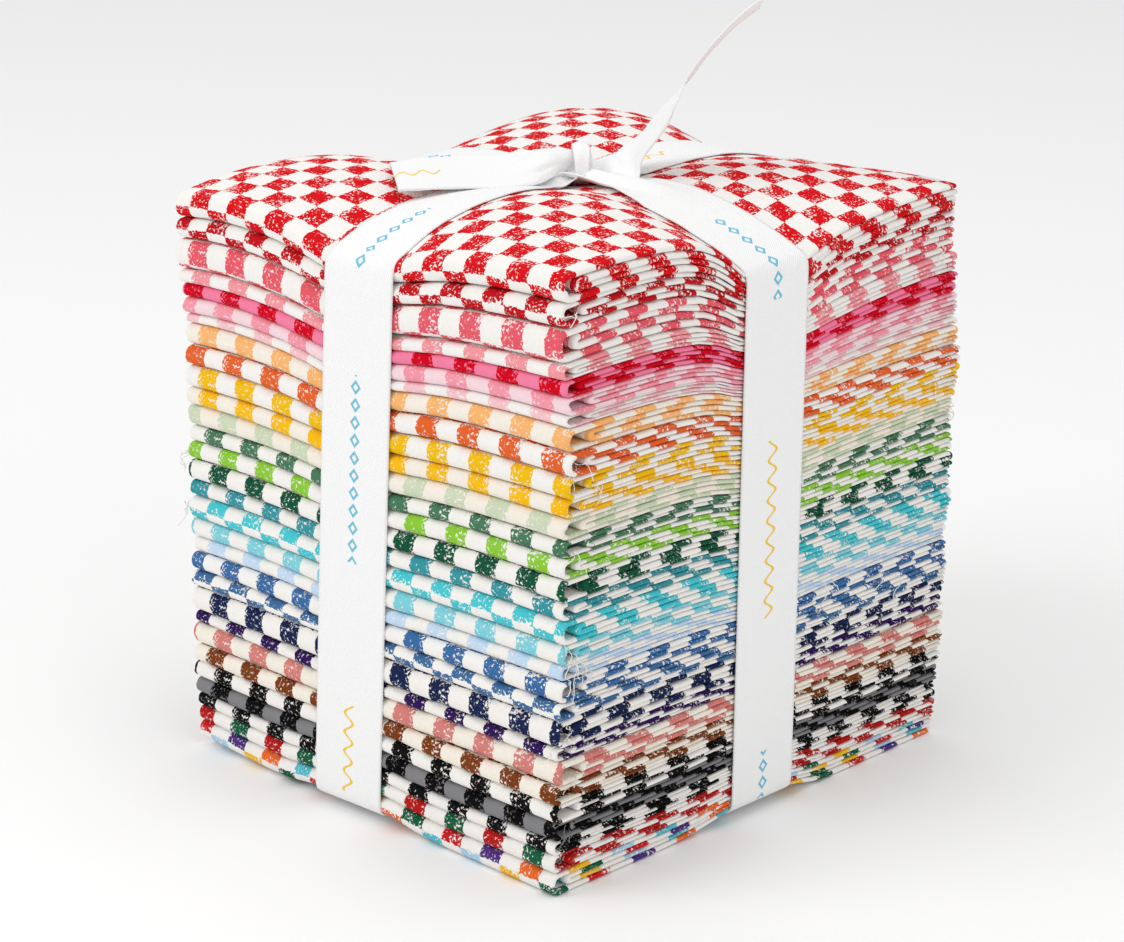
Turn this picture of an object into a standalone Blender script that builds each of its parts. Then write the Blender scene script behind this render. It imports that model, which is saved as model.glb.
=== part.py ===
# Fat quarter bundle: thirty folded cotton cuts, stacked and tied both ways with one flat ribbon.
#
# Metres, +Z up. The origin is the middle of the stack's footprint, on the surface it lies on.
# X runs across the folded strips: +X is the side that shows their folded edges, four rows a cut.
# Y runs along the strips: -Y is the side that shows one rounded fold, or roll, for each cut.
import math

import bmesh
import bpy

MM = 0.001

# Driving sizes of the stack
STACK_HEIGHT = 137.5 * MM          # at the corners, where the ribbon doesn't press
HALF_WIDTH = 61.0 * MM             # half of a folded cut's width, along X
FRONT_Y = -68.3 * MM               # front of an average roll
BACK_Y = 68.1 * MM                 # raw ends of the strips
PIECE_GAP = 0.3 * MM               # left between one cut and the next

# A cut's own section: four passes of one strip, folded twice, as shares of the cut's height
PASS_SHARE = 0.23
GAP_SHARE = (1.0 - 4 * PASS_SHARE) / 3
ROLL_DEPTH = 2.4 * MM              # how far the outer fold bulges past the flat passes
INNER_SETBACK = 5.0 * MM           # the inner fold stops this far behind the outer fold's root
INNER_DEPTH = 1.8 * MM
TURN_DEPTH = 1.3 * MM              # the small turn at the back
ROLL_WALL = 1.0 * MM               # cloth thickness around the outer fold

# The ribbon
RIBBON_HALF_WIDTH = 10.7 * MM
RIBBON_THICK = 1.0 * MM
RIBBON_GAP = 0.3 * MM
BAND_X = -4.0 * MM                 # middle of the lengthwise band
BAND_Y = 1.0 * MM                  # middle of the crosswise band
BAND_REACH = 11.0 * MM             # the pressed groove is flat this far from a band's middle

# The pressed top: a dome over each quarter, lowest along the bands
DOME_FRONT_RIGHT = 13.5 * MM
DOME_FRONT_LEFT = 5.5 * MM
DOME_BACK_RIGHT = 4.5 * MM
DOME_BACK_LEFT = 6.5 * MM
DOME_POWER = 4.5
DOME_HALF_X = 65.0 * MM
DOME_HALF_Y = 73.0 * MM
GROOVE_DEPTH = 4.9 * MM
GROOVE_HALF = 17.3 * MM
CROSSING_SHARE = 0.3               # how much less than two grooves the crossing sinks
GROOVE_LIFT = 3.5 * MM             # how far the ribbon pulls the underside up
TOP_SOFT_CUTS = 5                  # cuts that take the dome; those below lie flat
BOTTOM_SOFT_CUTS = 2               # cuts that take the lift

# Lines across which the soft cuts bend, shared by all of them so that neighbours stay parallel
BEND_X = [v * MM for v in (-64.0, -52.0, -34.0, -15.0, 7.0, 30.0, 50.0, 64.0)]
BEND_Y = [v * MM for v in (-72.0, -58.0, -36.0, -10.0, 12.0, 38.0, 58.0, 72.0)]
FLAT_X = [v * MM for v in (-64.0, -4.0, 64.0)]
FLAT_Y = [v * MM for v in (-72.0, 72.0)]

# One row for each cut, from the top: name, height of its roll at the front and of the cut at the
# back in mm, how far its roll and its folded edges stand out in mm, and its colour
CUT_COLUMNS = ("name", "roll", "back", "front", "side", "red", "green", "blue")
CUT_ROWS = [
    ("red", 6.1, 5.4, -0.5, -1.2, 0.76, 0.06, 0.08),
    ("deep_red", 5.1, 5.1, -0.2, -0.9, 0.66, 0.05, 0.08),
    ("coral_pink", 6.7, 5.5, 0.0, -0.6, 0.86, 0.35, 0.38),
    ("light_coral", 3.9, 4.8, -0.2, -0.3, 0.92, 0.58, 0.60),
    ("hot_pink", 3.8, 4.8, 0.1, 0.0, 0.80, 0.10, 0.25),
    ("mid_pink", 3.8, 4.1, -0.4, 0.0, 0.93, 0.55, 0.64),
    ("pale_pink", 3.3, 4.0, -0.9, 0.2, 0.96, 0.80, 0.84),
    ("peach", 4.6, 4.4, -0.1, 0.9, 0.95, 0.68, 0.42),
    ("orange", 4.6, 4.4, 0.3, 1.1, 0.88, 0.32, 0.12),
    ("golden_yellow", 4.8, 4.4, 0.5, 1.2, 0.95, 0.70, 0.05),
    ("warm_yellow", 4.4, 4.3, 0.2, 0.9, 0.94, 0.74, 0.18),
    ("sage", 5.0, 4.6, -0.3, 0.2, 0.80, 0.86, 0.72),
    ("grey_green", 3.8, 4.4, -0.6, 0.3, 0.60, 0.70, 0.60),
    ("lime", 4.4, 4.5, -0.1, 0.7, 0.50, 0.76, 0.22),
    ("dark_green", 5.0, 4.7, 0.4, 0.9, 0.07, 0.32, 0.22),
    ("teal", 4.1, 4.4, 0.0, 0.5, 0.10, 0.55, 0.58),
    ("turquoise", 5.3, 4.7, 0.3, 0.8, 0.20, 0.72, 0.76),
    ("aqua", 4.8, 4.6, -0.2, 0.6, 0.48, 0.82, 0.86),
    ("ice_blue", 3.9, 4.3, -0.7, 0.0, 0.80, 0.88, 0.96),
    ("blue", 4.4, 4.5, 0.1, 0.4, 0.36, 0.55, 0.78),
    ("denim_blue", 4.1, 4.4, 0.4, 0.8, 0.25, 0.40, 0.66),
    ("navy", 6.0, 4.9, 0.2, 0.3, 0.08, 0.10, 0.26),
    ("purple", 3.6, 4.2, -0.5, -0.3, 0.28, 0.16, 0.40),
    ("dusty_coral", 5.3, 4.8, -0.1, 0.2, 0.82, 0.48, 0.46),
    ("brown", 4.2, 4.5, 0.3, 0.3, 0.42, 0.24, 0.14),
    ("black", 4.4, 4.5, 0.1, -0.2, 0.06, 0.06, 0.07),
    ("charcoal", 4.3, 4.5, -0.3, -0.5, 0.20, 0.20, 0.21),
    ("ink", 3.8, 4.4, -0.6, -0.8, 0.05, 0.05, 0.06),
    ("red_green", 4.4, 4.5, -0.9, -1.0, 0.50, 0.30, 0.16),
    ("rainbow", 5.4, 4.9, -1.2, -1.4, 0.40, 0.56, 0.60),
]
CUTS = [dict(zip(CUT_COLUMNS, row)) for row in CUT_ROWS]
RIBBON_WHITE = (0.93, 0.93, 0.92)
CLOTH_ROUGHNESS = 0.9
RIBBON_ROUGHNESS = 0.6

# Route of each free ribbon end: place of its middle, its half width, the way its width points
# (turn from +X towards +Y, and rise), all in mm and degrees
TAIL_COLUMNS = ("x", "y", "z", "half", "turn", "rise")
LEFT_TAIL_ROWS = [
    (-3.95, -3.35, 145.5, 3.6, -48.0, 6.0),
    (-8.0, -7.0, 145.6, 5.5, -48.0, 0.0),
    (-13.0, -12.0, 144.8, 8.5, -48.0, -5.0),
    (-18.0, -16.5, 144.4, 10.7, -48.0, -7.0),
    (-24.0, -21.5, 144.3, 10.7, -48.0, -6.0),
    (-33.0, -29.5, 144.5, 10.7, -48.0, -2.0),
]
UP_TAIL_ROWS = [
    (4.7, 3.9, 146.3, 2.6, -48.0, 4.0),
    (7.4, 6.4, 147.4, 5.5, -32.0, 8.0),
    (9.9, 8.9, 149.4, 8.5, -27.0, 9.0),
    (13.4, 12.3, 153.0, 10.7, -34.0, 12.0),
    (16.8, 15.4, 160.0, 10.7, -43.0, 16.0),
    (19.3, 17.8, 165.9, 10.7, -47.0, 18.0),
    (22.8, 20.9, 172.5, 10.7, -47.0, 18.0),
    (27.6, 25.3, 179.6, 10.7, -47.0, 18.0),
    (31.5, 29.0, 183.8, 10.7, -47.0, 18.0),
]
KNOT_CENTRE = (0.4 * MM, 0.3 * MM, 145.5 * MM)
KNOT_HALF = (5.6 * MM, 5.0 * MM, 4.4 * MM)
KNOT_RIDGE = 0.16                  # how much the wrap around the knot's waist stands out
KNOT_STEPS = 16
KNOT_RINGS = 9


def clear_scene():
    for item in list(bpy.data.objects):
        bpy.data.objects.remove(item, do_unlink=True)


def material(name, colour, roughness):
    """A plain Principled material of one colour."""
    made = bpy.data.materials.new(name)
    made.use_nodes = True
    shader = made.node_tree.nodes["Principled BSDF"]
    shader.inputs["Base Color"].default_value = (*colour, 1.0)
    shader.inputs["Roughness"].default_value = roughness
    shader.inputs["Metallic"].default_value = 0.0
    return made


def add_object(name, verts, faces, colour, roughness):
    """A mesh object with its faces turned outwards."""
    mesh = bpy.data.meshes.new(name)
    mesh.from_pydata(verts, [], faces)
    work = bmesh.new()
    work.from_mesh(mesh)
    bmesh.ops.recalc_face_normals(work, faces=work.faces[:])
    work.to_mesh(mesh)
    work.free()
    mesh.materials.append(material(name, colour, roughness))
    made = bpy.data.objects.new(name, mesh)
    bpy.context.scene.collection.objects.link(made)
    return made


def groove(distance):
    """1 at a band's middle, falling to 0 where the cloth is free of it."""
    return math.exp(-(distance / GROOVE_HALF) ** 4)


def dome(share):
    return 1.0 - min(abs(share), 1.0) ** DOME_POWER


def far_share(distance):
    """0 on the near side of a band, 1 on the far side, and even under the band itself."""
    outside = max(abs(distance) - BAND_REACH, 0.0)
    return 0.5 + 0.5 * math.tanh(math.copysign(2.5 * outside / HALF_WIDTH, distance))


def top_lift(x, y):
    """How far the pressed top stands above the corners' height."""
    right, back = far_share(x - BAND_X), far_share(y - BAND_Y)
    height = (DOME_FRONT_RIGHT * right * (1 - back) + DOME_FRONT_LEFT * (1 - right) * (1 - back)
              + DOME_BACK_RIGHT * right * back + DOME_BACK_LEFT * (1 - right) * back)
    across, along = groove(x - BAND_X), groove(y - BAND_Y)
    sink = GROOVE_DEPTH * (across + along - CROSSING_SHARE * across * along)
    return height * dome(x / DOME_HALF_X) * dome(y / DOME_HALF_Y) - sink


def bottom_lift(x, y):
    """How far the ribbon pulls the underside up."""
    across, along = groove(x - BAND_X), groove(y - BAND_Y)
    return GROOVE_LIFT * (across + along - across * along)


def between(lines, value):
    """The two bend lines around a value and how far it is from the first to the second."""
    step = max(i for i in range(len(lines) - 1) if lines[i] <= value or i == 0)
    low, high = lines[step], lines[step + 1]
    return low, high, (value - low) / (high - low)


def bent(surface, x, y):
    """A surface made of straight stretches between the shared bend lines."""
    x0, x1, along_x = between(BEND_X, x)
    y0, y1, along_y = between(BEND_Y, y)
    near = surface(x0, y0) * (1 - along_x) + surface(x1, y0) * along_x
    far = surface(x0, y1) * (1 - along_x) + surface(x1, y1) * along_x
    return near * (1 - along_y) + far * along_y


def boundary_heights(column):
    """Heights of the 31 faces between cuts, from the top, scaled to the stack's height."""
    total = sum(cut[column] for cut in CUTS)
    heights = [STACK_HEIGHT]
    for cut in CUTS:
        heights.append(heights[-1] - cut[column] * STACK_HEIGHT / total)
    heights[-1] = 0.0
    return heights


ROLL_HEIGHTS = boundary_heights("roll")
BACK_HEIGHTS = boundary_heights("back")


def boundary(level, x, y):
    """Height of the face between cut `level` and the next one down, at a place."""
    back = (y - FRONT_Y) / (BACK_Y - FRONT_Y)
    height = ROLL_HEIGHTS[level] * (1 - back) + BACK_HEIGHTS[level] * back
    if level < TOP_SOFT_CUTS:
        depth = (STACK_HEIGHT - ROLL_HEIGHTS[level]) / (STACK_HEIGHT - ROLL_HEIGHTS[TOP_SOFT_CUTS])
        height += bent(top_lift, x, y) * (1 - depth)
    lowest_flat = len(CUTS) - BOTTOM_SOFT_CUTS
    if level > lowest_flat:
        height += bent(bottom_lift, x, y) * (1 - ROLL_HEIGHTS[level] / ROLL_HEIGHTS[lowest_flat])
    return height


def arc(centre_y, depth, low, high, steps, turn):
    """Points inside a half round in (y, share of height), turning down (1) or up (-1)."""
    middle, reach = (low + high) / 2, (high - low) / 2
    points = []
    for step in range(1, steps):
        angle = math.pi * step / steps
        points.append((centre_y + depth * math.sin(angle), middle + turn * reach * math.cos(angle)))
    return points


def cut_outline(root, raw, turn_root, lines_y):
    """The closed section of one cut, as (y, share of its height), along both faces of the strip."""
    gap, layer = GAP_SHARE, PASS_SHARE
    first = (0.0, layer)
    second = (layer + gap, 2 * layer + gap)
    third = (2 * layer + 2 * gap, 3 * layer + 2 * gap)
    fourth = (1.0 - layer, 1.0)
    inner_root = root + INNER_SETBACK

    def run(start, end, share):
        inside = [v for v in lines_y if min(start, end) < v < max(start, end)]
        if end < start:
            inside.reverse()
        return [(v, share) for v in [start, *inside, end]]

    outer_face = run(raw, root, fourth[1])
    outer_face += arc(root, -ROLL_DEPTH, 0.0, 1.0, 5, 1)
    outer_face += run(root, turn_root, first[0])
    outer_face += arc(turn_root, TURN_DEPTH, first[0], second[1], 3, -1)
    outer_face += run(turn_root, inner_root, second[1])
    outer_face += run(inner_root, raw, third[0])
    inner_face = run(raw, inner_root, third[1])
    inner_face += arc(inner_root, -INNER_DEPTH, second[0], third[1], 4, 1)
    inner_face += run(inner_root, turn_root, second[0])
    inner_face += run(turn_root, root, first[1])
    inner_face += arc(root, -(ROLL_DEPTH - ROLL_WALL), first[1], fourth[0], 4, -1)
    inner_face += run(root, raw, fourth[0])
    return outer_face + inner_face


def side_faces(ring_count, outline):
    """Triangles between neighbouring rings, all creased the same way seen from above."""
    size = len(outline)
    faces = []
    for ring in range(ring_count - 1):
        for here in range(size):
            there = (here + 1) % size
            a, b = ring * size + here, ring * size + there
            c, d = a + size, b + size
            if outline[there][0] > outline[here][0]:
                faces += [(a, c, b), (b, c, d)]
            else:
                faces += [(a, c, d), (a, d, b)]
    return faces


def add_cut(index):
    """One folded cut, as a section pulled along X and laid into its place in the stack."""
    cut = CUTS[index]
    soft = index < TOP_SOFT_CUTS or index >= len(CUTS) - BOTTOM_SOFT_CUTS
    is_lowest = index == len(CUTS) - 1
    lines_x, lines_y = (BEND_X, BEND_Y) if soft else (FLAT_X, FLAT_Y)
    front = FRONT_Y - cut["front"] * MM
    left, right = -HALF_WIDTH + 0.4 * cut["side"] * MM, HALF_WIDTH + cut["side"] * MM
    root = front + ROLL_DEPTH
    back = BACK_Y - 0.5 * cut["front"] * MM
    outline = cut_outline(root, back, back - TURN_DEPTH, lines_y)
    places_x = [left, *[v for v in lines_x if left < v < right], right]
    verts = []
    for x in places_x:
        for y, share in outline:
            flat_y = min(max(y, root), back)
            low = boundary(index + 1, x, flat_y) + (0.0 if is_lowest else PIECE_GAP / 2)
            high = boundary(index, x, flat_y) - PIECE_GAP / 2
            verts.append((x, y, low + (high - low) * share))
    faces = side_faces(len(places_x), outline)
    last = (len(places_x) - 1) * len(outline)
    faces.append(list(range(len(outline))))
    faces.append([last + i for i in range(len(outline))])
    colour = (cut["red"], cut["green"], cut["blue"])
    return add_object(f"fat_quarter_{index + 1:02d}_{cut['name']}", verts, faces, colour,
                      CLOTH_ROUGHNESS)


def band_route(place, ends, shoulders, dip, lines, under):
    """The inner face of a band around the stack, as (distance along it, height), closed."""
    low_side, high_side = ends
    low_shoulder, high_shoulder = shoulders

    def bend(side, inwards, shoulder):
        """Over the edge of the top cut and on to the side, starting on the top."""
        start = side + inwards * shoulder
        top = place(start) + RIBBON_GAP
        return [(start, top), (side + inwards * 0.25 * shoulder, top - 0.4 * shoulder),
                (side, top - 1.2 * shoulder)]

    heel, rise = 0.6 * MM, 0.8 * MM
    inside = [v for v in lines if low_side + low_shoulder < v < high_side - high_shoulder]
    route = [(v, place(v) + RIBBON_GAP) for v in inside]
    route += bend(high_side, -1, high_shoulder)
    route += [(high_side, under + rise), (high_side - heel, under)]
    route += dip
    route += [(low_side + heel, under), (low_side, under + rise)]
    route += reversed(bend(low_side, 1, low_shoulder))
    return route


def offset_route(route, distance):
    """The same closed route, moved outwards by a distance, with mitred bends."""
    count = len(route)
    moved = []
    for index in range(count):
        before, here, after = route[index - 1], route[index], route[(index + 1) % count]
        into = (here[0] - before[0], here[1] - before[1])
        out = (after[0] - here[0], after[1] - here[1])
        into_length, out_length = math.hypot(*into), math.hypot(*out)
        normal_in = (-into[1] / into_length, into[0] / into_length)
        normal_out = (-out[1] / out_length, out[0] / out_length)
        both = (normal_in[0] + normal_out[0], normal_in[1] + normal_out[1])
        scale = distance * 2 / (both[0] ** 2 + both[1] ** 2)
        moved.append((here[0] + both[0] * scale, here[1] + both[1] * scale))
    return moved


def add_band(name, route, to_world):
    """A flat band around the stack. Its route runs along the top first, then down and under."""
    inner = route
    outer = offset_route(route, RIBBON_THICK)
    count = len(route)
    verts = []
    for side in (-RIBBON_HALF_WIDTH, RIBBON_HALF_WIDTH):
        for ring in (inner, outer):
            verts += [to_world(along, side, height) for along, height in ring]
    faces = []
    for here in range(count):
        there = (here + 1) % count
        inner_low, outer_low, inner_high, outer_high = (k * count for k in range(4))
        faces.append((inner_low + here, inner_low + there, inner_high + there, inner_high + here))
        faces.append((outer_low + here, outer_high + here, outer_high + there, outer_low + there))
        faces.append((inner_low + here, outer_low + here, outer_low + there, inner_low + there))
        faces.append((inner_high + here, inner_high + there, outer_high + there, outer_high + here))
    return add_object(name, verts, faces, RIBBON_WHITE, RIBBON_ROUGHNESS)


def add_ribbon_bands():
    """The lengthwise band, and the crosswise one that passes over it above and below."""
    front, back = FRONT_Y - 1.0 * MM, BACK_Y + 1.2 * MM
    left, right = -HALF_WIDTH - 1.65 * MM, HALF_WIDTH + 1.65 * MM
    low, raised = 1.3 * MM, 2.6 * MM
    dip_end, dip_start = BAND_REACH + 2.5 * MM, BAND_REACH + 6.0 * MM
    dip = [(BAND_Y + dip_start, raised), (BAND_Y + dip_end, low),
           (BAND_Y - dip_end, low), (BAND_Y - dip_start, raised)]

    def along_y(y):
        return STACK_HEIGHT + bent(top_lift, BAND_X, y)

    def along_x(x):
        near_crossing = abs(x - BAND_X) < BAND_REACH + 1.0 * MM
        step_over = RIBBON_THICK + RIBBON_GAP if near_crossing else 0.0
        return STACK_HEIGHT + bent(top_lift, x, BAND_Y) + step_over

    add_band("ribbon_lengthwise",
             band_route(along_y, (front, back), (3.0 * MM, 1.2 * MM), dip, BEND_Y, raised),
             lambda along, side, height: (BAND_X + side, along, height))
    step_lines = sorted([*BEND_X, BAND_X - BAND_REACH - 2.0 * MM, BAND_X + BAND_REACH + 2.0 * MM])
    add_band("ribbon_crosswise",
             band_route(along_x, (left, right), (1.1 * MM, 3.0 * MM), [], step_lines, raised),
             lambda along, side, height: (along, BAND_Y - side, height))


def add_knot():
    """The small round knot, with the ribbon's last wrap raised around its waist."""
    verts = [(KNOT_CENTRE[0], KNOT_CENTRE[1], KNOT_CENTRE[2] - KNOT_HALF[2])]
    for ring in range(1, KNOT_RINGS):
        tilt = math.pi * ring / KNOT_RINGS
        for step in range(KNOT_STEPS):
            turn = 2 * math.pi * step / KNOT_STEPS
            way = (math.sin(tilt) * math.cos(turn), math.sin(tilt) * math.sin(turn), -math.cos(tilt))
            along = (way[0] * 0.77 + way[1] * 0.64)
            wrap = 1.0 + KNOT_RIDGE * math.exp(-(along / 0.3) ** 2) - 0.05 * math.cos(3 * turn)
            reach = (wrap, wrap, max(wrap, 1.0) if way[2] > 0 else 1.0)
            verts.append(tuple(KNOT_CENTRE[k] + KNOT_HALF[k] * way[k] * reach[k] for k in range(3)))
    verts.append((KNOT_CENTRE[0], KNOT_CENTRE[1], KNOT_CENTRE[2] + KNOT_HALF[2]))
    faces = []
    for step in range(KNOT_STEPS):
        after = (step + 1) % KNOT_STEPS
        faces.append((0, 1 + after, 1 + step))
        for ring in range(KNOT_RINGS - 2):
            here, above = 1 + ring * KNOT_STEPS, 1 + (ring + 1) * KNOT_STEPS
            faces.append((here + step, here + after, above + after, above + step))
        top = 1 + (KNOT_RINGS - 2) * KNOT_STEPS
        faces.append((top + step, top + after, len(verts) - 1))
    return add_object("ribbon_knot", verts, faces, RIBBON_WHITE, RIBBON_ROUGHNESS)


def add_tail(name, rows):
    """A free end: a flat strip along its route, turning its width as the rows say."""
    rows = [dict(zip(TAIL_COLUMNS, row)) for row in rows]
    middles = [(row["x"] * MM, row["y"] * MM, row["z"] * MM) for row in rows]
    verts = []
    for index, row in enumerate(rows):
        turn, rise = math.radians(row["turn"]), math.radians(row["rise"])
        width = (math.cos(rise) * math.cos(turn), math.cos(rise) * math.sin(turn), math.sin(rise))
        before, after = middles[max(index - 1, 0)], middles[min(index + 1, len(rows) - 1)]
        along = tuple(after[k] - before[k] for k in range(3))
        normal = (width[1] * along[2] - width[2] * along[1],
                  width[2] * along[0] - width[0] * along[2],
                  width[0] * along[1] - width[1] * along[0])
        length = math.sqrt(sum(v * v for v in normal))
        for side, face in ((-1, -1), (1, -1), (1, 1), (-1, 1)):
            verts.append(tuple(middles[index][k] + side * row["half"] * MM * width[k]
                               + face * 0.5 * RIBBON_THICK * normal[k] / length for k in range(3)))
    faces = [(0, 1, 2, 3), tuple(len(verts) - 4 + k for k in range(4))]
    for index in range(len(rows) - 1):
        for corner in range(4):
            after = (corner + 1) % 4
            a, b = 4 * index + corner, 4 * index + after
            faces += [(a, b, b + 4), (a, b + 4, a + 4)]
    return add_object(name, verts, faces, RIBBON_WHITE, RIBBON_ROUGHNESS)


clear_scene()
for cut_index in range(len(CUTS)):
    add_cut(cut_index)
add_ribbon_bands()
add_knot()
add_tail("ribbon_tail_left", LEFT_TAIL_ROWS)
add_tail("ribbon_tail_up", UP_TAIL_ROWS)
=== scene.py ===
# %% [markdown]
# # A bundle of thirty fat quarters
#
# A fat quarter is a quarter yard of quilting cotton, cut wide instead of long: 457 mm by 546 mm.
# Thirty of them are folded alike, laid on each other with the reds at the top and the dark and
# many-coloured ones at the bottom, and tied both ways with one flat ribbon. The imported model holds
# a plain solid for every cut and every part of the ribbon. This lesson lays real cloth over those
# solids: each cut is one sheet, folded as it is by hand.

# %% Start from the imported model
import math

import bmesh
import bpy
import numpy as np
from mathutils import Matrix, Vector


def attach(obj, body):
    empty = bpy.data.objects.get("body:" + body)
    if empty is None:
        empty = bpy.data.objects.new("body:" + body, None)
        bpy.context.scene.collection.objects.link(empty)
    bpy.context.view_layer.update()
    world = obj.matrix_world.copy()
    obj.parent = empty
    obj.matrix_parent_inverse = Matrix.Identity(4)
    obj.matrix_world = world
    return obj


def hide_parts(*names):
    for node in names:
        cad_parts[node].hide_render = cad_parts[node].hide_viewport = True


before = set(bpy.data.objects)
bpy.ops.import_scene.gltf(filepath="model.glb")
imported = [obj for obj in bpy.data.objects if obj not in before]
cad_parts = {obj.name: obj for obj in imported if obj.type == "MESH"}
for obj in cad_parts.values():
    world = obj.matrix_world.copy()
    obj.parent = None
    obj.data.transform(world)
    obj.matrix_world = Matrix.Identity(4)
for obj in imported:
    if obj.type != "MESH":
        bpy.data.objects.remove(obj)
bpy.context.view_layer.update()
MM = 0.001

# %% [markdown]
# ## Camera
#
# The bundle is seen a little from above, with one upright edge near the middle of the picture.
# A long lens keeps its upright edges nearly parallel. The camera's turn is written as three
# directions, to its right, up and backwards, because a small roll is easiest to give that way.

# %% Camera
TURN, RISE, ROLL = (math.radians(v) for v in (42.61, 18.06, 0.72))
TARGET = Vector((-1.74, -1.6, 69.6)) * MM
DISTANCE = 871.2 * MM


def camera_axes():
    """The camera's right, up and back directions."""
    back = Vector((math.sin(TURN) * math.cos(RISE), -math.cos(TURN) * math.cos(RISE), math.sin(RISE)))
    right = Vector((math.cos(TURN), math.sin(TURN), 0.0))
    up = back.cross(right)
    rolled_right = math.cos(ROLL) * right + math.sin(ROLL) * up
    rolled_up = math.cos(ROLL) * up - math.sin(ROLL) * right
    return rolled_right, rolled_up, back


axes = camera_axes()
camera_data = bpy.data.cameras.new("camera")
camera_data.lens = 116.4
camera_data.shift_x = 0.0022
camera_data.shift_y = 0.0005
camera = bpy.data.objects.new("camera", camera_data)
bpy.context.scene.collection.objects.link(camera)
turned = Matrix(axes).transposed().to_4x4()
camera.matrix_world = Matrix.Translation(TARGET + axes[2] * DISTANCE) @ turned
bpy.context.scene.camera = camera
print("camera at", [round(v, 3) for v in camera.location])

# %% [markdown]
# ## Light and floor
#
# The picture is a shop photograph: bright, soft and nearly without shadows. A white world gives
# most of the light. One wide lamp in front and to the left makes the rolled folds read as round,
# a weaker one lights the side with the folded edges, and one above keeps the top the brightest.

# %% Light and floor
def add_lamp(name, place, size, power):
    """A square lamp that looks at the middle of the bundle."""
    data = bpy.data.lights.new(name, "AREA")
    data.size = size
    data.energy = power
    lamp = bpy.data.objects.new(name, data)
    lamp.location = place
    toward = Vector((0.0, 0.0, 0.07)) - Vector(place)
    lamp.rotation_euler = toward.to_track_quat("-Z", "Y").to_euler()
    bpy.context.scene.collection.objects.link(lamp)


add_lamp("key", (-0.55, -1.15, 1.15), 0.9, 7.6)
add_lamp("side", (1.3, -0.25, 0.75), 0.9, 2.2)
add_lamp("above", (0.1, 0.1, 1.6), 1.2, 5.3)
world = bpy.data.worlds.new("studio")
bpy.context.scene.world = world
world.use_nodes = True
sky = world.node_tree.nodes["Background"]
sky.inputs["Color"].default_value = (1.0, 1.0, 1.0, 1.0)
sky.inputs["Strength"].default_value = 0.66
bpy.context.scene.view_settings.view_transform = "Standard"


def deselect():
    for item in list(bpy.context.selected_objects):
        item.select_set(False)


deselect()
bpy.ops.mesh.primitive_plane_add(size=6.0, location=(0.0, 0.0, 0.0))
floor = bpy.context.object
floor.name = "floor"
paper = bpy.data.materials.new("floor_paper")
paper.use_nodes = True
paper.node_tree.nodes["Principled BSDF"].inputs["Base Color"].default_value = (0.97, 0.97, 0.97, 1)
paper.node_tree.nodes["Principled BSDF"].inputs["Roughness"].default_value = 0.9
floor.data.materials.append(paper)
print("three lamps, a white world and a pale floor")

# %% [markdown]
# ## The order of the cuts
#
# One row describes one cut, from the top of the stack: how high its rolled fold stands in front,
# how high the cut is at the back, how far its roll and its folded edges stick out, whether the
# small turn at the back lies in its upper half, where on the roll the middle of a printed square
# lies, how its rows of squares meet the roll, and its two colours.
# People fold by eye, so no two cuts come out the same. That is why these are numbers in a table
# and not one value with a random change.

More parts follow.
